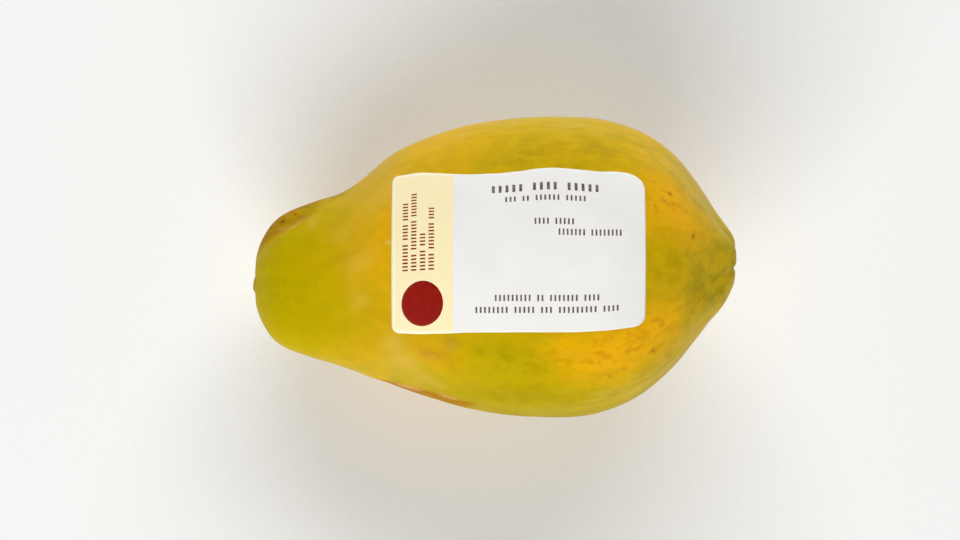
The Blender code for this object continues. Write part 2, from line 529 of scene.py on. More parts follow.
@dataclass(frozen=True)
class EffectGroups:
    """Node groups for effects that more than one finish uses."""

    cloud_roughness: float = 0.55
    torn_size: float = 0.9 * MM
    torn_range: tuple[float, float] = (0.65, 1.5)
    spot_border: tuple[float, float] = (0.1, 1.4)

    @cached_property
    def clouds(self) -> bpy.types.NodeTree:
        """Build soft clouds from 0 to 1, which may be stretched.

        Returns:
            The group.
        """
        numbers = {name: "Float" for name in ("Scale", "Detail", "Low", "High")}
        vectors = {"Vector": "Vector", "Stretch": "Vector"}
        tree, given, out = new_group("soft_clouds", vectors | numbers, {"Cloud": "Float"})
        scaled = {0: given["Vector"], 1: given["Stretch"]}
        placed = tree.node("VectorMath", scaled, operation="MULTIPLY").outputs[0]
        inputs = {"Vector": placed, "Scale": given["Scale"], "Detail": given["Detail"]}
        cloud = tree.node("TexNoise", inputs | {"Roughness": self.cloud_roughness}).outputs["Fac"]
        tree.feed(out, {"Cloud": tree.between(cloud, given["Low"], given["High"])})
        return tree.tree

    @cached_property
    def spot(self) -> bpy.types.NodeTree:
        """Build a small ragged spot round a centre.

        Returns:
            The group.
        """
        sockets = {"Vector": "Vector", "Centre": "Vector", "Radius": "Float"}
        tree, given, out = new_group("ragged_spot", sockets, {"Mask": "Float"})
        ends = {0: given["Vector"], 1: given["Centre"]}
        apart = tree.node("VectorMath", ends, operation="DISTANCE").outputs["Value"]
        inputs = {"Vector": given["Vector"], "Scale": 1 / self.torn_size}
        grain = tree.node("TexNoise", inputs).outputs["Fac"]
        torn = tree.between(grain, 0.3, 0.7, *self.torn_range)
        share = tree.math("DIVIDE", tree.math("MULTIPLY", apart, torn), given["Radius"])
        tree.feed(out, {"Mask": tree.between(share, *self.spot_border, 1.0, 0.0)})
        return tree.tree


@dataclass(frozen=True)
class Clouds:
    """A layer of soft clouds: their size in metres, their finer layers and how far they are stretched.

    Below the low noise there is no cloud, and above the high noise it is full.
    """

    size: float
    detail: float
    low: float
    high: float
    stretch: float = 1.0

    def add(self, tree: ShaderTree, groups: EffectGroups, vector: Socket) -> Socket:
        """Add the layer to a tree.

        Args:
            tree: the tree.
            groups: the shared effects.
            vector: the coordinates.

        Returns:
            The clouds, from 0 to 1.
        """
        inputs = {"Vector": vector, "Stretch": (1 / self.stretch, 1.0, 1.0), "Scale": 1 / self.size}
        inputs |= {"Detail": self.detail, "Low": self.low, "High": self.high}
        return tree.node("Group", inputs, node_tree=groups.clouds).outputs["Cloud"]


class Tint(Enum):
    """What paint does to the skin. The value names the mesh attribute that holds it."""

    LIME = "lime"
    AMBER = "amber"
    OLIVE = "olive_paint"
    GREEN = "green"
    # Pale marks, and along the edges painted sheen.
    PALE = "pale"
    # Brown rust spots, and in the neck and along the lower edge painted shade.
    RUST = "rust"
    SCUFF = "scuff"
    # Pale streaks, which along the upper and lower edges are painted sheen.
    STREAK = "streak"
    SCAR = "scar"


@dataclass(frozen=True)
class Mark:
    """A painted mark of one tint on the skin. Its sizes are in millimetres and its angles in degrees.

    Each kind of mark has its own raggedness, and ends at its own cut-off, a squared share of its size.
    """

    tint: Tint
    strength: float
    softness: ClassVar[float] = 1.1
    ragged: ClassVar[float] = 0.5
    cut_off: ClassVar[float] = 6.0

    @classmethod
    def rows(cls, tint: Tint, *rows: tuple[float, ...]) -> tuple[Self, ...]:
        """Make marks of one tint from rows of their other fields, strength first."""
        return tuple(cls(tint, *row) for row in rows)

    def near(self, along: float, length: float) -> bool:
        """Say whether the mark may reach a place along a fruit of this length."""
        raise NotImplementedError

    def off(self, place: Place, length: float) -> float:
        """Give the squared distance of a place from the mark, as a share of the mark's size."""
        raise NotImplementedError

    def at(self, place: Place, length: float, wander: float) -> float:
        """Give the strength of the mark at a place, where this noise makes its border wander."""
        off = self.off(place, length) * (1 + self.ragged * wander)
        return self.strength * math.exp(-self.softness * off) if off < self.cut_off else 0.0


@dataclass(frozen=True)
class Patch(Mark):
    """A patch with soft, ragged borders."""

    along: float
    around: float
    half_length: float
    half_width: float
    turn: float = 0.0
    ragged: ClassVar[float] = 0.6
    cut_off: ClassVar[float] = 5.0
    margin: ClassVar[float] = 2.2

    def near(self, along: float, length: float) -> bool:
        """Say whether the patch may reach a place along a fruit of this length."""
        return abs(along - self.along) * length / MM < self.margin * max(self.half_length, self.half_width)

    def off(self, place: Place, length: float) -> float:
        """Give the squared distance of a place from the patch.

        Args:
            place: the place.
            length: the fruit's length, in metres.

        Returns:
            The distance, as a share of the patch's size.
        """
        u = (place.along - self.along) * length / MM
        v = math.remainder(place.around - math.radians(self.around), math.tau) * place.radius / MM
        cosine = math.cos(math.radians(self.turn))
        sine = math.sin(math.radians(self.turn))
        off_length = (u * cosine + v * sine) / self.half_length
        off_width = (v * cosine - u * sine) / self.half_width
        return off_length**2 + off_width**2


@dataclass(frozen=True)
class Stroke(Mark):
    """A soft line along a path of places on the skin."""

    half_width: float
    path: Stations
    margin: ClassVar[float] = 3.0

    def near(self, along: float, length: float) -> bool:
        """Say whether the stroke may reach a place along the fruit.

        Args:
            along: the place, as a share.
            length: the fruit's length, in metres.

        Returns:
            True if it may.
        """
        margin = self.margin * self.half_width * MM / length
        places = [place for place, _ in self.path]
        return min(places) - margin < along < max(places) + margin

    def off(self, place: Place, length: float) -> float:
        """Give the squared distance of a place from the stroke.

        Args:
            place: the place.
            length: the fruit's length, in metres.

        Returns:
            The distance, as a share of the stroke's size.
        """
        closest = math.inf
        for (along_0, around_0), (along_1, around_1) in zip(self.path, self.path[1:]):
            run = (along_1 - along_0) * length / MM
            rise = math.radians(around_1 - around_0) * place.radius / MM
            u = (place.along - along_0) * length / MM
            v = math.remainder(place.around - math.radians(around_0), math.tau) * place.radius / MM
            share = min(max((u * run + v * rise) / (run * run + rise * rise), 0.0), 1.0)
            closest = min(closest, math.hypot(u - share * run, v - share * rise))
        return (closest / self.half_width) ** 2


@dataclass(frozen=True)
class Ring(Mark):
    """A soft ring round the middle of one end."""

    stem_end: bool
    middle_radius: float
    half_width: float
    cut_off: ClassVar[float] = math.inf

    def near(self, along: float, length: float) -> bool:
        """Say whether the ring may reach a place along a fruit of this length."""
        return along < STEM_END if self.stem_end else along > BLOSSOM_END

    def off(self, place: Place, length: float) -> float:
        """Give the squared distance of a place from the ring, as a share of the ring's size."""
        return ((place.radius / MM - self.middle_radius) / self.half_width) ** 2


@dataclass(frozen=True)
class Fleck:
    """A small dark mark on the skin. Its place around is in degrees and its radius in metres."""

    along: float
    around: float
    radius: float
    strength: float = 0.4


@dataclass(frozen=True)
class Scatter:
    """Patches of one tint that are scattered over the hidden sides. Their usual size is in millimetres."""

    tint: Tint
    count: int
    low: float
    high: float
    size: float = 7.0


@dataclass(frozen=True)
class SkinFinish:
    """Smooth waxy skin, from lime at the neck to gold and amber at the belly."""

    gold: Colour = linear(205, 164, 3)
    warm_gold: Colour = linear(224, 172, 6)
    lime: Colour = linear(186, 165, 0)
    amber: Colour = linear(242, 177, 4)
    dark_amber: Colour = linear(206, 138, 0)
    green: Colour = linear(140, 130, 0)
    olive: Colour = linear(168, 148, 0)
    # The pale colour is also that of the painted sheen along the edges.
    pale: Colour = linear(226, 192, 92)
    # The brown is rust on the skin and also painted shade.
    rust: Colour = linear(158, 96, 4)
    scuff: Colour = linear(216, 164, 112)
    cork: Colour = linear(172, 144, 74)
    dark_cork: Colour = linear(112, 86, 42)
    fleck: Colour = linear(120, 74, 0)
    mottle_share: float = 0.22
    ripe_mottle_share: float = 0.72
    fine_share: float = 0.20
    streak_and_sheen_share: float = 0.45
    scar_border: tuple[float, float] = (0.35, 0.6)
    roughness: float = 0.40
    dulling: float = 0.4
    specular: tuple[float, float] = (0.09, 0.02)
    bump_strength: float = 0.10
    bump_distance: float = 0.25 * MM
    fine_height: float = 0.6
    refraction: float = 1.42

    def material(self, groups: EffectGroups, flecks: list[tuple[Vector, float, float]]) -> Material:
        """Build the skin material.

        Args:
            groups: the shared effects.
            flecks: centre, radius and strength of each small dark mark.

        Returns:
            The material.
        """
        tree = MaterialTree("papaya_skin_waxy")
        place = tree.node("TexCoord").outputs["Object"]
        flow = tree.attribute(FLOW, "Vector")
        layers = {
            "broad": Clouds(11 * MM, 2.0, 0.30, 0.70, 1.6).add(tree, groups, place),
            "mottle": Clouds(4.2 * MM, 1.0, 0.30, 0.70, 1.3).add(tree, groups, place),
            "fine": Clouds(1.5 * MM, 2.0, 0.28, 0.76, 1.5).add(tree, groups, place),
            "streak": Clouds(1.6 * MM, 3.0, 0.38, 0.72, 6.0).add(tree, groups, flow),
            "grain": Clouds(0.7 * MM, 1.0, 0.25, 0.75).add(tree, groups, place),
            "dash": Clouds(2.2 * MM, 1.5, 0.46, 0.70, 1.6).add(tree, groups, flow),
        }
        paint = {tint: tree.attribute(tint.value) for tint in Tint}
        colour, roughness = self.wear(tree, self.ripeness(tree, layers, paint), layers, paint)
        for centre, radius, strength in flecks:
            inputs = {"Vector": place, "Centre": centre, "Radius": radius}
            spot = tree.node("Group", inputs, node_tree=groups.spot)
            colour = tree.blend(tree.times(spot.outputs["Mask"], strength), colour, self.fleck)
        height = tree.math("ADD", layers["grain"], tree.math("MULTIPLY", layers["fine"], self.fine_height))
        return tree.dressed(
            {
                "Base Color": colour,
                "Roughness": roughness,
                "Normal": tree.bump(height, self.bump_strength, self.bump_distance),
                "IOR": self.refraction,
                "Specular IOR Level": tree.between(paint[Tint.LIME], 0.1, 0.9, *self.specular),
            }
        )

    def ripeness(self, tree: ShaderTree, layers: dict[str, Socket], paint: dict[Tint, Socket]) -> Socket:
        """Mix the ground colour of the skin.

        Args:
            tree: the material's tree.
            layers: the clouds, by name.
            paint: what is painted on the mesh, by tint.

        Returns:
            The colour.
        """
        broad, mottle, fine = layers["broad"], layers["mottle"], layers["fine"]
        spread = tree.between(mottle, 0.0, 1.0, 0.30, 1.0)
        broken = tree.between(fine, 0.0, 1.0, 0.65, 1.0)
        colour = tree.blend(broad, self.gold, self.warm_gold)
        for share, over in (
            (paint[Tint.LIME], self.lime),
            (paint[Tint.OLIVE], self.olive),
            (tree.times(mottle, self.mottle_share), self.olive),
            (paint[Tint.AMBER], self.amber),
            (tree.times(paint[Tint.AMBER], layers["dash"], self.ripe_mottle_share), self.dark_amber),
            (tree.times(paint[Tint.GREEN], spread, broken), self.green),
            (tree.times(fine, broad, self.fine_share), self.olive),
            # Pale streaks and pale paint; along the edges both are painted sheen.
            (tree.times(paint[Tint.STREAK], layers["streak"], self.streak_and_sheen_share), self.pale),
            (paint[Tint.PALE], self.pale),
        ):
            colour = tree.blend(share, colour, over)
        return colour

    def wear(
        self, tree: ShaderTree, colour: Socket, layers: dict[str, Socket], paint: dict[Tint, Socket]
    ) -> tuple[Socket, Socket]:
        """Lay brown places, which are rust and partly painted shade, scuffs and corky places over the ground
        colour.

        Args:
            tree: the material's tree.
            colour: the ground colour.
            layers: the clouds, by name.
            paint: what is painted on the mesh, by tint.

        Returns:
            The colour and the roughness.
        """
        grain = layers["grain"]
        # Brown paint: rust spots, and painted shade in the neck's crease and corner and along the lower
        # edge.
        rust_and_shade_share = tree.times(paint[Tint.RUST], tree.between(layers["fine"], 0.0, 1.0, 0.75, 1.0))
        scuffed = tree.times(paint[Tint.SCUFF], tree.between(grain, 0.0, 1.0, 0.6, 1.0))
        scar = tree.between(paint[Tint.SCAR], *self.scar_border)
        cork = tree.blend(grain, self.dark_cork, self.cork)
        for share, over in ((rust_and_shade_share, self.rust), (scuffed, self.scuff), (scar, cork)):
            colour = tree.blend(share, colour, over)
        dulled = tree.math("MAXIMUM", tree.times(rust_and_shade_share, 0.5), scar)
        varied = tree.between(layers["broad"], 0.0, 1.0, self.roughness - 0.04, self.roughness + 0.06)
        return colour, tree.math("ADD", varied, tree.times(dulled, self.dulling), clamp=True)


def new_object(name: str, data: bpy.types.ID) -> bpy.types.Object:
    """Add an object to the scene.

    Args:
        name: the object's name.
        data: its mesh, lamp or camera.

    Returns:
        The object.
    """
    made = bpy.data.objects.new(name, data)
    bpy.context.scene.collection.objects.link(made)
    return made


def new_surface(name: str, shape: Shape, material: Material) -> Piece:
    """Turn a mesh into a smooth object.

    Args:
        name: the object's name.
        shape: its mesh, which is freed.
        material: its material.

    Returns:
        The object.
    """
    mesh = bpy.data.meshes.new(name)
    shape.to_mesh(mesh)
    shape.free()
    mesh.materials.append(material)
    mesh.shade_smooth()
    return new_object(name, mesh)


def turned(points: list[Vector], middle: Vector, axis: Vector, steps: int) -> Shape:
    """Turn a line of points all the way round an axis.

    Args:
        points: the line.
        middle: a point on the axis.
        axis: the direction of the axis.
        steps: how many steps the turn has.

    Returns:
        The surface.
    """
    shape = bmesh.new()
    line = [shape.verts.new(point) for point in points]
    edges = [shape.edges.new(pair) for pair in zip(line, line[1:])]
    sweep = {"cent": middle, "axis": axis, "angle": math.tau, "steps": steps, "use_merge": True}
    bmesh.ops.spin(shape, geom=[*line, *edges], **sweep)
    bmesh.ops.remove_doubles(shape, verts=shape.verts, dist=WELD)
    return shape


@dataclass
class Papaya:
    """The fruit in one piece: a closed skin with its lobes and scars, painted with its ripeness and with
    some painted shade and sheen.
    """

    form: FruitForm
    finish: SkinFinish
    segments: int = 360
    shift: Vector = field(default_factory=Vector)
    stem_scar: float = 2.0 * MM
    blossom_scar: float = 1.5 * MM
    wander_sizes: tuple[float, float] = (6 * MM, 2.5 * MM)
    levels: dict[Tint, EasedCurve] = field(
        default_factory=lambda: {
            Tint.LIME: EasedCurve(
                (0.00, 0.95), (0.10, 0.90), (0.16, 0.60), (0.22, 0.25), (0.30, 0.06),
                (0.42, 0.10), (0.55, 0.40), (0.85, 0.22), (1.00, 0.50),
            ),
            Tint.GREEN: EasedCurve((0.0, 0.0), (0.45, 0.0), (0.6, 0.08), (0.85, 0.08), (1.0, 0.30)),
            Tint.STREAK: EasedCurve((0.0, 0.0), (0.3, 0.04), (0.8, 0.08), (1.0, 0.08)),
        }
    )
    # Each mark paints a zone or a blemish that the fruit shows from above or at an end, and some of them
    # paint shade and sheen. The row of a patch is its strength, its place along and around, its half length,
    # its half width and, if any, its turn.
    marks: tuple[Mark, ...] = (
        *Patch.rows(
            Tint.LIME,
            (0.85, 0.560, 136, 20, 12), (0.70, 0.500, 125, 12, 8), (0.95, 0.600, 158, 34, 9),
            (0.95, 0.600, 168, 36, 9), (0.34, 0.860, 95, 12, 13), (0.60, 0.560, 154, 20, 5),
            (0.50, 0.160, 118, 12, 10), (0.55, 0.420, 146, 14, 8), (0.45, 0.345, 150, 10, 7),
        ),
        *Patch.rows(
            Tint.AMBER,
            (0.85, 0.848, 60, 10, 12), (0.50, 0.897, 67, 6, 6), (0.90, 0.734, 124, 12, 8),
            (0.60, 0.648, 123, 7, 6), (0.85, 0.795, 124, 9, 8), (0.50, 0.845, 118, 7, 6),
            (0.60, 0.700, 132, 12, 7), (0.35, 0.290, 62, 7, 10), (0.25, 0.255, 84, 7, 6),
            (0.30, 0.640, 40, 10, 4), (0.28, 0.385, 130, 8, 6), (0.25, 0.075, 8, 12, 8),
        ),
        *Patch.rows(
            Tint.OLIVE,
            (0.95, 0.580, 168, 42, 12), (0.75, 0.560, 150, 28, 7), (0.50, 0.790, 160, 16, 6),
            (0.60, 0.390, 155, 9, 4), (0.80, 0.930, 26, 12, 5),
        ),
        # Of these green patches, the three from 0.060 to 0.175 along near 10 degrees round darken the corner
        # of the neck, and the one at 0.600 along and 167 degrees round darkens the lower edge: these are
        # painted shade.
        *Patch.rows(
            Tint.GREEN,
            (0.35, 0.560, 150, 26, 6), (0.45, 0.600, 167, 36, 7), (0.90, 0.060, 12, 8, 8),
            (0.80, 0.120, 10, 9, 6), (0.55, 0.175, 8, 9, 5), (0.30, 0.686, 156, 4, 1.2),
            (0.35, 0.070, 96, 7, 6), (0.26, 0.841, 87, 5, 6), (0.18, 0.852, 99, 5, 5),
            (0.50, 0.912, 106, 5, 6), (0.12, 0.875, 89, 6, 8), (0.35, 0.907, 88, 3, 4),
            (0.45, 0.912, 43, 8, 2.6), (0.50, 0.945, 42, 4, 2.5), (0.40, 0.845, 36, 9, 2),
            (0.55, 0.966, 80, 4, 6), (0.95, 0.986, 85, 2, 3), (0.95, 0.962, 121, 4, 4),
            (0.70, 0.986, 140, 2, 3), (0.60, 0.930, 112, 5, 5), (0.35, 0.583, 144, 3, 2),
            (0.40, 0.481, 125, 3, 2), (0.40, 0.516, 127, 4, 3), (0.30, 0.530, 141, 3, 2),
            (0.30, 0.575, 128, 12, 6), (0.40, 0.715, 39, 9, 5), (0.25, 0.620, 37, 14, 4),
            (0.40, 0.715, 140, 5, 3), (0.50, 0.849, 151, 6, 3), (0.50, 0.879, 143, 4, 3),
            (0.35, 0.687, 154, 8, 2), (0.40, 0.790, 27, 10, 3), (0.45, 0.590, 42, 9, 2.5),
            (0.40, 0.545, 47, 7, 2), (0.38, 0.655, 51, 9, 2.5), (0.20, 0.350, 60, 4, 2),
            (0.40, 0.740, 150, 10, 2.5), (0.35, 0.800, 143, 8, 2), (0.45, 0.868, 136, 4, 2.5),
        ),
        # Of these pale patches, the long ones along the upper and lower edges, at 12, 26 and 34 degrees and
        # at 155 and 160 degrees round, are painted sheen.
        *Patch.rows(
            Tint.PALE,
            (0.25, 0.290, 45, 8, 7, 30), (0.16, 0.351, 150, 9, 5, -25), (0.25, 0.311, 140, 7, 4, -35),
            (0.20, 0.297, 128, 4, 3, -50), (0.20, 0.230, 82, 5, 4), (0.20, 0.230, 104, 3, 3),
            (0.45, 0.067, 34, 2.5, 0.9), (0.50, 0.085, 36, 2.5, 0.9), (0.30, 0.100, 31, 2, 1.2),
            (0.20, 0.130, 41, 2, 3), (0.15, 0.190, 60, 4, 3), (0.14, 0.560, 12, 34, 7),
            (0.22, 0.940, 26, 9, 4), (0.10, 0.640, 160, 30, 5), (0.18, 0.800, 155, 14, 4.5),
            (0.16, 0.895, 34, 10, 4), (0.20, 0.915, 137, 6, 3),
        ),
        # These pale streaks lie along the upper and lower edges, where they are also painted sheen.
        *Patch.rows(
            Tint.STREAK,
            (0.45, 0.470, 22, 30, 6), (0.60, 0.700, 20, 26, 6), (0.75, 0.855, 34, 12, 5),
            (0.30, 0.640, 168, 30, 4), (0.75, 0.800, 152, 18, 5), (0.60, 0.890, 145, 12, 5),
        ),
        # Of these brown patches, those near the neck from 0.040 to 0.200 along, 2 to 28 degrees round, and
        # the long one at 0.600 along and 172 degrees round are painted shade.
        *Patch.rows(
            Tint.RUST,
            (0.12, 0.600, 172, 34, 5), (0.35, 0.388, 130, 4, 3), (0.30, 0.362, 129, 3, 3),
            (0.35, 0.415, 122, 2.5, 2.5), (0.65, 0.040, 18, 5, 7), (0.60, 0.085, 8, 8, 8),
            (0.55, 0.150, 2, 9, 5), (0.40, 0.200, 4, 8, 4), (0.40, 0.095, 28, 4, 1.6),
        ),
        *Patch.rows(Tint.SCUFF, (0.10, 0.372, 131, 3, 2), (0.10, 0.415, 124, 2, 2)),
        Stroke(Tint.GREEN, 0.50, 0.6, ((0.893, 129), (0.905, 125))),
        Stroke(Tint.PALE, 0.70, 0.5, ((0.284, 76), (0.294, 77))),
        Stroke(Tint.PALE, 0.14, 2.4, ((0.301, 131), (0.340, 143), (0.392, 151))),
        # Painted shade: a brown band along the neck's crease, between the crease and the edge.
        Stroke(
            Tint.RUST, 0.50, 1.1,
            ((0.022, 27), (0.034, 32), (0.066, 35), (0.088, 33.5), (0.110, 31), (0.132, 26)),
        ),
        Stroke(Tint.RUST, 0.12, 1.0, ((0.145, 80), (0.170, 79))),
        Stroke(Tint.RUST, 0.16, 1.4, ((0.188, 77), (0.225, 75))),
        # Along the lower edge behind the neck: brown strokes for a scuffed ridge, which at the rim are also
        # painted shade.
        Stroke(
            Tint.RUST, 0.92, 2.6,
            ((0.285, 169.5), (0.308, 166.5), (0.343, 164), (0.370, 162.5), (0.408, 161.5), (0.445, 162)),
        ),
        Stroke(Tint.RUST, 0.95, 2.8, ((0.275, 174), (0.315, 171), (0.360, 168.5), (0.430, 167.5))),
        Stroke(Tint.RUST, 0.35, 0.6, ((0.905, 122), (0.925, 117), (0.930, 121))),
        Stroke(Tint.SCUFF, 0.85, 1.5, ((0.312, 165), (0.326, 163.5), (0.341, 162.5))),
        Stroke(Tint.SCUFF, 0.75, 1.4, ((0.402, 160), (0.418, 160))),
        # A brown ring darkens the pit round the stub: painted shade.
        Ring(Tint.RUST, 0.45, True, 4.4, 0.8),
        Ring(Tint.GREEN, 0.40, True, 7.0, 2.0),
        Ring(Tint.GREEN, 0.45, False, 3.5, 3.0),
        Ring(Tint.RUST, 0.45, False, 2.6, 0.7),
    )
    flecks: tuple[Fleck, ...] = (
        Fleck(0.065, 24.8, 1.3 * MM, 0.9), Fleck(0.091, 21.0, 0.8 * MM, 0.7),
        Fleck(0.040, 21.0, 0.7 * MM), Fleck(0.824, 63.5, 0.6 * MM),
        Fleck(0.856, 54.0, 0.8 * MM, 0.5), Fleck(0.845, 59.6, 0.6 * MM),
        Fleck(0.862, 58.9, 0.5 * MM), Fleck(0.903, 74.3, 1.0 * MM, 0.7),
        Fleck(0.822, 132.3, 1.3 * MM, 0.5), Fleck(0.735, 138.5, 0.9 * MM, 0.3),
        Fleck(0.764, 136.0, 0.8 * MM, 0.3), Fleck(0.894, 127.5, 0.6 * MM),
    )
    scatters: tuple[Scatter, ...] = (
        Scatter(Tint.AMBER, 14, 0.35, 0.9),
        Scatter(Tint.LIME, 10, 0.3, 0.9),
        Scatter(Tint.GREEN, 26, 0.35, 0.98),
        Scatter(Tint.STREAK, 12, 0.3, 0.9),
        Scatter(Tint.RUST, 7, 0.2, 0.9, 2.0),
    )
    scatter_seed: int = 11
    crease_run: tuple[float, ...] = (0.955, 0.975, 0.998)

    def build(self, groups: EffectGroups) -> Piece:
        """Model, set down, dress and paint the fruit.

        Args:
            groups: the shared effects.

        Returns:
            The fruit.
        """
        shape, places = self.grow()
        self.set_down(shape)
        spots = [
            (self.skin(fleck.along, math.radians(fleck.around)), fleck.radius, fleck.strength)
            for fleck in self.flecks
        ]
        fruit = new_surface("papaya_whole", shape, self.finish.material(groups, spots))
        self.paint(fruit.data, places)
        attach(fruit, BODY)
        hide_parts(FRUIT_NODE)
        return fruit

    def grow(self) -> tuple[Shape, list[Place]]:
        """Turn the half outline about its length and move each point to its grown place.

        Returns:
            The mesh, and the place of each of its vertices.
        """
        outline = [Vector((along, 0.0, share)) for along, share in self.form.half_outline]
        shape = turned(outline, Vector(), Vector((1.0, 0.0, 0.0)), self.segments)
        places = []
        for vertex in shape.verts:
            along, across, up = vertex.co
            radius = math.hypot(across, up) * self.form.belly_radius
            places.append(Place(along, math.atan2(up, across), radius))
            vertex.co = self.form.point(places[-1])
        bmesh.ops.recalc_face_normals(shape, faces=shape.faces)
        return shape, places

    def set_down(self, shape: Shape) -> None:
        """Lay the fruit on its flat spot, where the frame has it.

        Args:
            shape: the grown mesh, which is moved.
        """
        low = Vector(min(vertex.co[axis] for vertex in shape.verts) for axis in range(3))
        high = Vector(max(vertex.co[axis] for vertex in shape.verts) for axis in range(3))
        cad_low, cad_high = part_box(FRUIT_NODE)
        self.shift = (cad_low + cad_high - low - high) / 2
        self.shift.z = cad_low.z - low.z - self.form.flat_spot_depth
        for vertex in shape.verts:
            vertex.co += self.shift
            vertex.co.z = max(vertex.co.z, cad_low.z)

    def skin(self, along: float, around: float, proud: float = 0.0) -> Vector:
        """Place a point on the skin, or proud of it, once the fruit lies down."""
        return self.form.skin(along, around, proud) + self.shift

    def crease_marks(self) -> list[Mark]:
        """Paint the creases that run in to the blossom scar: greener and darker beside them, which is partly
        painted shade, with pale and brown lines along the middle.

        Returns:
            The marks.
        """
        marks = []
        for k in range(self.form.lobes):
            turn = 360 / self.form.lobes * k
            path = tuple((along, self.form.lobe_valley(along) + turn) for along in self.crease_run)
            marks.append(Stroke(Tint.GREEN, 0.50, 2.0, path))
            marks.append(Stroke(Tint.PALE, 0.30, 0.5, path[1:]))
            marks.append(Stroke(Tint.RUST, 0.35, 0.4, path[1:]))
        return marks

    def hidden_marks(self) -> list[Mark]:
        """Scatter patches over the sides and the underside, in the manner of those above.

        Returns:
            The marks.
        """
        draw = random.Random(self.scatter_seed)
        marks = []
        for scatter in self.scatters:
            for _ in range(scatter.count):
                size = draw.uniform(0.6, 1.3) * scatter.size
                strength = draw.uniform(0.3, 0.7)
                along = draw.uniform(scatter.low, scatter.high)
                around = draw.uniform(178, 360)
                long_by = draw.uniform(1.0, 1.8)
                turn = draw.uniform(-20, 20)
                marks.append(Patch(scatter.tint, strength, along, around, size * long_by, size * 0.7, turn))
        return marks

    def paint(self, mesh: bpy.types.Mesh, places: list[Place]) -> None:
        """Paint each tint on the mesh as an attribute, and the place on the growing fruit.

        Args:
            mesh: the fruit's mesh.
            places: the place of each vertex.
        """
        marks = [*self.marks, *self.crease_marks(), *self.hidden_marks()]
        nearby: dict[float, list[Mark]] = {}
        painted: dict[Tint, list[float]] = {tint: [] for tint in Tint}
        flow = []
        coarse, fine = self.wander_sizes
        for place in places:
            ring = round(place.along, 3)
            if ring not in nearby:
                nearby[ring] = [mark for mark in marks if mark.near(ring, self.form.length)]
            spread = self.form.flow(place)
            flow.extend(spread)
            wander = noise.noise(spread / coarse) + 0.5 * noise.noise(spread / fine)
            bare = {tint: 1.0 for tint in Tint}
            bare |= {tint: 1 - level(place.along) for tint, level in self.levels.items()}
            bare[Tint.SCAR] = 1 - self.scar(place, wander)
            for mark in nearby[ring]:
                bare[mark.tint] *= 1 - mark.at(place, self.form.length, wander)
            for tint, share in bare.items():
                painted[tint].append(1 - share)
        for tint, values in painted.items():
            mesh.attributes.new(tint.value, "FLOAT", "POINT").data.foreach_set("value", values)
        mesh.attributes.new(FLOW, "FLOAT_VECTOR", "POINT").data.foreach_set("vector", flow)

    def scar(self, place: Place, wander: float) -> float:
        """Say how corky the skin is at its two end scars, of which the blossom scar is a small star.

        Args:
            place: the place on the skin.
            wander: noise that makes the border wander.

        Returns:
            The corkiness, from 0 to 1.
        """
        star = max(0.0, -self.form.lobe_wave(1.0, place.around))
        edge = self.stem_scar if place.along < 0.5 else self.blossom_scar * (1 + star)
        return min(1.0, max(0.0, 0.5 + (edge - place.radius) / MM + 0.4 * wander))


@dataclass(frozen=True)
class PaperFinish:
    """Thin coated paper, cream at the stem end and white for the rest."""

    white: Colour = linear(243, 242, 238)
    shaded_white: Colour = linear(234, 231, 226)
    cream: Colour = linear(255, 239, 188)
    cream_margin: Colour = linear(255, 246, 214)
    cream_width: float = 20.8 * MM
    margin: float = 1.1 * MM
    print_softness: float = 0.12 * MM
    shading: Clouds = Clouds(14 * MM, 2.0, 0.3, 0.7)
    shading_share: float = 0.35
    fibres: Clouds = Clouds(0.5 * MM, 3.0, 0.3, 0.7)
    fibre_share: float = 0.10

    def material(self, groups: EffectGroups, width: float) -> Material:
        """Build the paper material, which reads the sheet's own flat coordinates.

        Args:
            groups: the shared effects.
            width: the sheet's width, in metres.

        Returns:
            The material.
        """
        tree = MaterialTree("label_paper_coated")
        sheet = tree.node("UVMap", uv_map=SHEET_MAP).outputs[0]
        parts = tree.node("SeparateXYZ", {0: sheet}).outputs
        soft = self.print_softness
        across = tree.math("ABSOLUTE", tree.math("SUBTRACT", parts["Y"], width / 2))
        inner = width / 2 - self.margin
        printed = tree.times(
            tree.between(parts["X"], self.margin - soft, self.margin + soft),
            tree.between(across, inner - soft, inner + soft, 1.0, 0.0),
        )
        cream = tree.blend(printed, self.cream_margin, self.cream)
        shading = tree.times(self.shading.add(tree, groups, sheet), self.shading_share)
        white = tree.blend(shading, self.white, self.shaded_white)
        past_cream = tree.between(parts["X"], self.cream_width - soft, self.cream_width + soft)
        colour = tree.blend(past_cream, cream, white)
        fibres = self.fibres.add(tree, groups, sheet)
        return tree.dressed(
            {
                "Base Color": tree.blend(tree.times(fibres, self.fibre_share), colour, self.shaded_white),
                "Roughness": tree.between(fibres, 0.0, 1.0, 0.50, 0.60),
                "Normal": tree.bump(fibres, 0.05, 0.1 * MM),
                "Specular IOR Level": 0.3,
            }
        )


@dataclass(frozen=True)
class MatteFinish:
    """A matte surface of two close tones, such as printing ink or the floor."""

    name: str
    tone: Colour
    other_tone: Colour
    clouds: Clouds
    roughness: tuple[float, float]

    def material(self, groups: EffectGroups) -> Material:
        """Build the material.

        Args:
            groups: the shared effects.

        Returns:
            The material.
        """
        tree = MaterialTree(self.name)
        clouds = self.clouds.add(tree, groups, tree.node("TexCoord").outputs["Object"])
        return tree.dressed(
            {
                "Base Color": tree.blend(clouds, self.tone, self.other_tone),
                "Roughness": tree.between(clouds, 0.0, 1.0, *self.roughness),
                "Specular IOR Level": 0.2,
            }
        )


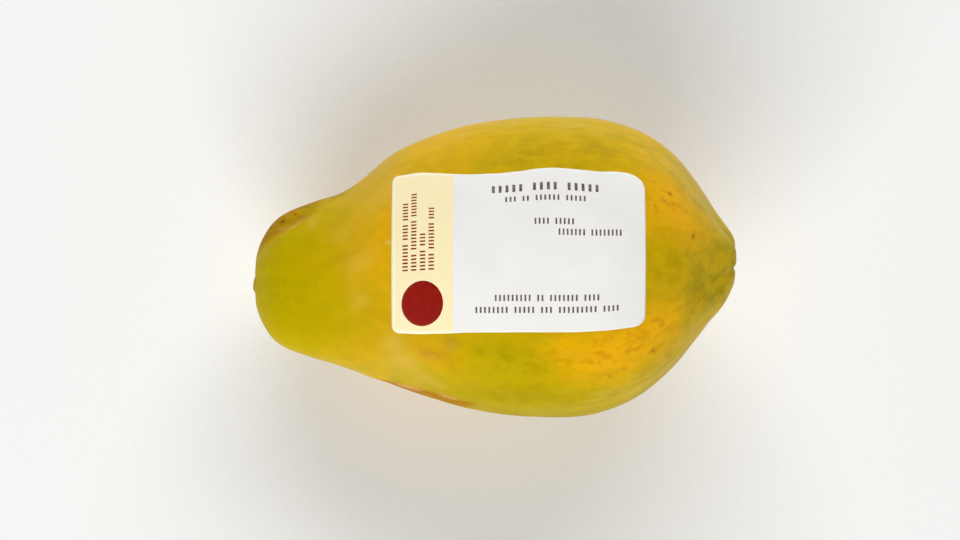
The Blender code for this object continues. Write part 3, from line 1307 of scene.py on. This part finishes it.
def ink_finish(name: str, ink: Colour, worn: Colour) -> MatteFinish:
    """Describe printing ink with a slightly uneven tone."""
    return MatteFinish(name, ink, worn, Clouds(1.1 * MM, 2.0, 0.35, 0.7), (0.5, 0.65))


class Ink(Enum):
    """The label's inks."""

    GREY = ink_finish("ink_grey", linear(92, 80, 80), linear(128, 116, 114))
    RED = ink_finish("ink_red", linear(140, 14, 4), linear(150, 26, 12))


@dataclass(frozen=True)
class TickRow:
    """A row of plain printed ticks in groups. Places and sizes are in millimetres on the flat label."""

    ink: Ink
    start: float
    middle: float
    groups: tuple[int, ...]
    pitch: float
    height: float
    upright: bool = False
    thickness_share: ClassVar[float] = 0.42

    def ticks(self) -> list[tuple[float, float, float, float]]:
        """Lay out the ticks.

        Returns:
            The middle and the two sides of each tick on the flat label, in metres.
        """
        boxes = []
        travelled = 0.0
        thick = self.thickness_share * self.pitch * MM
        for count in self.groups:
            for _ in range(count):
                run = (self.start + travelled + self.pitch / 2) * MM
                if self.upright:
                    boxes.append((self.middle * MM, run, self.height * MM, thick))
                else:
                    boxes.append((run, self.middle * MM, thick, self.height * MM))
                travelled += self.pitch
            travelled += self.pitch
        return boxes


@dataclass
class PaperLabel:
    """The paper label: a thin rounded sheet that follows the skin, with plain ticks and a dot on it."""

    papaya: Papaya
    paper: PaperFinish
    length: float = 79.6 * MM
    width: float = 52.5 * MM
    pulled_in: EasedCurve = EasedCurve(
        (0.00, 0.990), (0.13, 1.018), (0.23, 1.013), (0.33, 0.998),
        (0.60, 1.003), (0.70, 0.998), (0.84, 0.979), (1.00, 0.929),
    )
    far_edge_wave: EasedCurve = EasedCurve(
        (0.00, 1.15 * MM), (0.06, 0.46 * MM), (0.13, -0.10 * MM), (0.23, -1.36 * MM), (0.33, -1.85 * MM),
        (0.42, -1.95 * MM), (0.51, -1.40 * MM), (0.60, -0.30 * MM), (0.66, 0.04 * MM), (0.72, -0.20 * MM),
        (0.82, -0.85 * MM), (0.89, -0.30 * MM), (1.00, 0.15 * MM),
    )
    near_corners: tuple[float, float] = (2.8 * MM, 3.8 * MM)
    far_corners: tuple[float, float] = (2.6 * MM, 6.5 * MM)
    middle_along: float = 0.5417
    middle_around: float = math.radians(82.4)
    lean: float = math.radians(1.6)
    ground: tuple[float, float] = (0.20, 0.92)
    ground_points: int = 145
    lift: float = 0.10 * MM
    thickness: float = 0.12 * MM
    ink_thickness: float = 0.015 * MM
    pucker: float = 0.10 * MM
    pucker_length: float = 5 * MM
    cells_long: int = 130
    cells_wide: int = 88
    rows: tuple[TickRow, ...] = (
        TickRow(Ink.GREY, 32.5, 45.8, (5, 4, 5), 2.08, 2.7),
        TickRow(Ink.GREY, 36.8, 41.8, (3, 2, 6, 5), 1.31, 1.8),
        TickRow(Ink.GREY, 45.6, 34.1, (4, 5), 1.25, 1.9),
        TickRow(Ink.GREY, 52.8, 30.8, (7, 8), 1.22, 1.9),
        TickRow(Ink.GREY, 33.6, 11.0, (9, 2, 7, 4), 1.28, 1.9),
        TickRow(Ink.GREY, 27.6, 7.3, (8, 5, 3, 9, 4), 1.33, 1.9),
        TickRow(Ink.RED, 19.5, 4.8, (8, 5, 6), 1.05, 1.8, True),
        TickRow(Ink.RED, 19.5, 7.7, (5, 9, 8), 1.05, 1.8, True),
        TickRow(Ink.RED, 19.5, 10.7, (6, 4), 1.05, 1.8, True),
        TickRow(Ink.RED, 19.5, 13.6, (5, 8, 4), 1.05, 1.8, True),
    )
    dot_middle: tuple[float, float] = (10.5 * MM, 9.7 * MM)
    dot_radius: float = 7.0 * MM
    dot_rings: int = 8
    dot_sides: int = 64

    @cached_property
    def ridge(self) -> list[float]:
        """Places along the fruit under the label, evenly spaced."""
        first, last = self.ground
        return [first + (last - first) * i / (self.ground_points - 1) for i in range(self.ground_points)]

    @cached_property
    def run(self) -> list[float]:
        """Measure along the curved skin.

        Returns:
            The length from the ridge's first place to each of its places, in metres.
        """
        places = [self.papaya.skin(along, self.middle_around) for along in self.ridge]
        travelled = [0.0]
        for here, there in zip(places, places[1:]):
            travelled.append(travelled[-1] + (there - here).length)
        return travelled

    @cached_property
    def middle_run(self) -> float:
        """Measure along the curved skin to the label's middle.

        Returns:
            The length from the ridge's first place, in metres.
        """
        steps = (self.middle_along - self.ground[0]) / (self.ridge[1] - self.ridge[0])
        whole = int(steps)
        return self.run[whole] + (steps - whole) * (self.run[whole + 1] - self.run[whole])

    def place(self, along_sheet: float, across_sheet: float, proud: float) -> Vector:
        """Find where a point of the flat sheet lies on the fruit.

        Args:
            along_sheet: distance from the sheet's stem edge, in metres.
            across_sheet: distance from its -Y edge, in metres.
            proud: distance out from the skin, in metres.

        Returns:
            The place.
        """
        target = self.middle_run + along_sheet - self.length / 2
        i = bisect_right(self.run, target)
        rest = (target - self.run[i - 1]) / (self.run[i] - self.run[i - 1])
        along = self.ridge[i - 1] + rest * (self.ridge[i] - self.ridge[i - 1])
        share = along_sheet / self.length
        middle_around = self.middle_around + self.lean * (share - 0.5)
        to_far_edge = across_sheet / self.width
        across = (self.width / 2 - across_sheet) * self.pulled_in(share)
        across -= self.far_edge_wave(share) * to_far_edge**3
        around = middle_around + across / self.papaya.form.radius(along)
        to_edge = abs(2 * to_far_edge - 1)
        crease = noise.noise(Vector((along_sheet / self.pucker_length, to_far_edge * 2, 0.0))) + 0.2
        return self.papaya.skin(along, around, proud + max(0.0, crease) * self.pucker * to_edge**6)

    def build(self, groups: EffectGroups) -> list[Piece]:
        """Make the sheet and its print.

        Args:
            groups: the shared effects.

        Returns:
            The label's pieces.
        """
        inks = {ink: ink.value.material(groups) for ink in Ink}
        ticks = [self.ticks(ink, material) for ink, material in inks.items()]
        return [self.sheet(groups), *ticks, self.dot(inks[Ink.RED])]

    def sheet(self, groups: EffectGroups) -> Piece:
        """Make the paper sheet.

        Args:
            groups: the shared effects.

        Returns:
            The sheet.
        """
        shape = bmesh.new()
        bmesh.ops.create_grid(shape, x_segments=self.cells_long, y_segments=self.cells_wide, size=0.5)
        for vertex in shape.verts:
            vertex.co = Vector(((vertex.co.x + 0.5) * self.length, (vertex.co.y + 0.5) * self.width, 0.0))
        self.round_corners(shape)
        print_map = shape.loops.layers.uv.new(SHEET_MAP)
        for face in shape.faces:
            for loop in face.loops:
                loop[print_map].uv = loop.vert.co.xy
        material = self.paper.material(groups, self.width)
        label = self.laid("paper_label_sheet", shape, material, self.lift, self.thickness)
        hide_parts(LABEL_NODE)
        return label

    def round_corners(self, shape: Shape) -> None:
        """Draw the grid's points that lie past a rounded corner back onto it.

        Args:
            shape: the flat sheet.
        """
        for vertex in shape.verts:
            stem_side = vertex.co.x < self.length / 2
            near_side = vertex.co.y < self.width / 2
            radius = (self.near_corners if near_side else self.far_corners)[0 if stem_side else 1]
            centre = Vector((radius, radius, 0.0))
            if not stem_side:
                centre.x = self.length - radius
            if not near_side:
                centre.y = self.width - radius
            off = vertex.co - centre
            past_x = off.x < 0 if stem_side else off.x > 0
            past_y = off.y < 0 if near_side else off.y > 0
            if past_x and past_y:
                vertex.co = centre + off.normalized() * max(abs(off.x), abs(off.y))

    def laid(
        self, name: str, shape: Shape, material: Material, proud: float, thickness: float
    ) -> Piece:
        """Lay a flat shape on the skin, face out, and give it its thickness.

        Args:
            name: the piece's name.
            shape: the shape on the flat sheet.
            material: its material.
            proud: distance of its underside out from the skin, in metres.
            thickness: its thickness, in metres.

        Returns:
            The piece, which rides with the fruit.
        """
        for vertex in shape.verts:
            vertex.co = self.place(vertex.co.x, vertex.co.y, proud)
        bmesh.ops.recalc_face_normals(shape, faces=shape.faces)
        downward = [face for face in shape.faces if face.normal.z < 0]
        bmesh.ops.reverse_faces(shape, faces=downward)
        made = new_surface(name, shape, material)
        solid = made.modifiers.new("thickness", "SOLIDIFY")
        solid.thickness = thickness
        solid.offset = 1.0
        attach(made, BODY)
        return made

    def printed(self, name: str, shape: Shape, material: Material) -> Piece:
        """Print a flat shape on the paper in this ink, as a piece of this name."""
        proud = self.lift + self.thickness + self.ink_thickness
        return self.laid(name, shape, material, proud, self.ink_thickness)

    def ticks(self, ink: Ink, material: Material) -> Piece:
        """Print the rows of ticks of one ink.

        Args:
            ink: the ink.
            material: its material.

        Returns:
            The ticks, in one piece.
        """
        shape = bmesh.new()
        for row in self.rows:
            if row.ink is not ink:
                continue
            for along, across, length, width in row.ticks():
                for vertex in bmesh.ops.create_grid(shape, x_segments=2, y_segments=3, size=0.5)["verts"]:
                    vertex.co = Vector((along + vertex.co.x * length, across + vertex.co.y * width, 0.0))
        return self.printed(f"printed_ticks_{ink.name.lower()}", shape, material)

    def dot(self, material: Material) -> Piece:
        """Print the plain round dot.

        Args:
            material: the ink.

        Returns:
            The dot.
        """
        middle = Vector((*self.dot_middle, 0.0))
        steps = [self.dot_radius * i / self.dot_rings for i in range(self.dot_rings + 1)]
        spoke = [middle + Vector((step, 0.0, 0.0)) for step in steps]
        shape = turned(spoke, middle, Vector((0.0, 0.0, 1.0)), self.dot_sides)
        return self.printed("printed_dot", shape, material)


@dataclass(frozen=True)
class Softbox:
    """A large soft lamp that looks at the fruit."""

    name: str
    place: tuple[float, float, float]
    size: tuple[float, float]
    power: float

    def build(self, target: Vector) -> None:
        """Hang the lamp.

        Args:
            target: the point that it looks at.
        """
        lamp = bpy.data.lights.new(self.name, "AREA")
        lamp.shape = "RECTANGLE"
        lamp.size, lamp.size_y = self.size
        lamp.energy = self.power
        stand = new_object(self.name, lamp)
        stand.location = self.place
        stand.rotation_euler = (target - stand.location).to_track_quat("-Z", "Y").to_euler()
        stand.visible_glossy = False


@dataclass(frozen=True)
class Studio:
    """A plain pale floor, soft lamps from the sides, and a camera that looks straight down."""

    frame_px: tuple[int, int] = (960, 540)
    fruit_middle_px: tuple[float, float] = (492.5, 267.0)
    fruit_length_px: float = 482.5
    camera_distance: float = 1.1
    sensor: float = 36.0
    view_depth: float = 20.0
    floor_radius: float = 4.0
    floor_sides: int = 96
    floor_finish: MatteFinish = MatteFinish(
        "floor_matte",
        linear(247, 247, 246),
        linear(245, 245, 244),
        Clouds(1.2 * MM, 3.0, 0.35, 0.65),
        (0.75, 0.85),
    )
    horizon: float = 0.85
    zenith: float = 0.03
    zenith_height: float = 0.75
    softboxes: tuple[Softbox, ...] = (
        Softbox("softbox_far", (0.15, 1.35, 1.05), (1.8, 0.8), 22.2),
        Softbox("softbox_near", (-0.3, -1.35, 1.05), (1.8, 0.8), 26.6),
    )

    def build(self, groups: EffectGroups) -> None:
        """Set up the floor, the light and the camera.

        Args:
            groups: the shared effects.
        """
        low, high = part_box(FRUIT_NODE)
        middle = (low + high) / 2
        self.floor(low.z, groups)
        self.sky()
        for softbox in self.softboxes:
            softbox.build(middle)
        self.camera(middle, high.x - low.x)

    def floor(self, height: float, groups: EffectGroups) -> None:
        """Lay the floor.

        Args:
            height: the height of the surface, in metres.
            groups: the shared effects.
        """
        shape = bmesh.new()
        bmesh.ops.create_circle(shape, cap_ends=True, segments=self.floor_sides, radius=self.floor_radius)
        for vertex in shape.verts:
            vertex.co.z = height
        ground = new_surface("studio_floor", shape, self.floor_finish.material(groups))

    def sky(self) -> None:
        """Light the studio evenly, brighter at the horizon than overhead."""
        world = bpy.data.worlds.new("studio_light")
        world.use_nodes = True
        bpy.context.scene.world = world
        tree = ShaderTree(world.node_tree)
        direction = tree.node("TexCoord").outputs["Generated"]
        height = tree.node("SeparateXYZ", {0: direction}).outputs["Z"]
        strength = tree.between(height, 0.0, self.zenith_height, self.horizon, self.zenith)
        tree.feed(world.node_tree.nodes["Background"], {"Strength": strength, "Color": (1.0, 1.0, 1.0)})

    def camera(self, middle: Vector, fruit_length: float) -> None:
        """Hang the camera over the fruit.

        Args:
            middle: the middle of the fruit.
            fruit_length: its length, in metres.
        """
        per_metre = self.fruit_length_px / fruit_length
        eye = bpy.data.cameras.new("camera_above")
        eye.sensor_width = self.sensor
        eye.lens = self.sensor * self.camera_distance * per_metre / self.frame_px[0]
        eye.clip_end = self.view_depth
        stand = new_object("camera_above", eye)
        aside = (self.frame_px[0] / 2 - self.fruit_middle_px[0]) / per_metre
        ahead = (self.fruit_middle_px[1] - self.frame_px[1] / 2) / per_metre
        stand.location = middle + Vector((aside, ahead, self.camera_distance))
        bpy.context.scene.camera = stand


def main() -> None:
    """Dress the fruit and its label, and set up the studio."""
    logging.basicConfig(level=logging.INFO, format="%(name)s: %(message)s")
    low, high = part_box(FRUIT_NODE)
    form = FruitForm(length=(high.x - low.x) / FruitForm.reach)
    groups = EffectGroups()
    Studio().build(groups)
    papaya = Papaya(form, SkinFinish())
    fruit = papaya.build(groups)
    LOG.info("%s: %d faces", fruit.name, len(fruit.data.polygons))
    for piece in PaperLabel(papaya, PaperFinish()).build(groups):
        LOG.info("%s: %d faces", piece.name, len(piece.data.polygons))
    bpy.context.scene.view_settings.view_transform = "Standard"


if __name__ == "__main__":
    main()
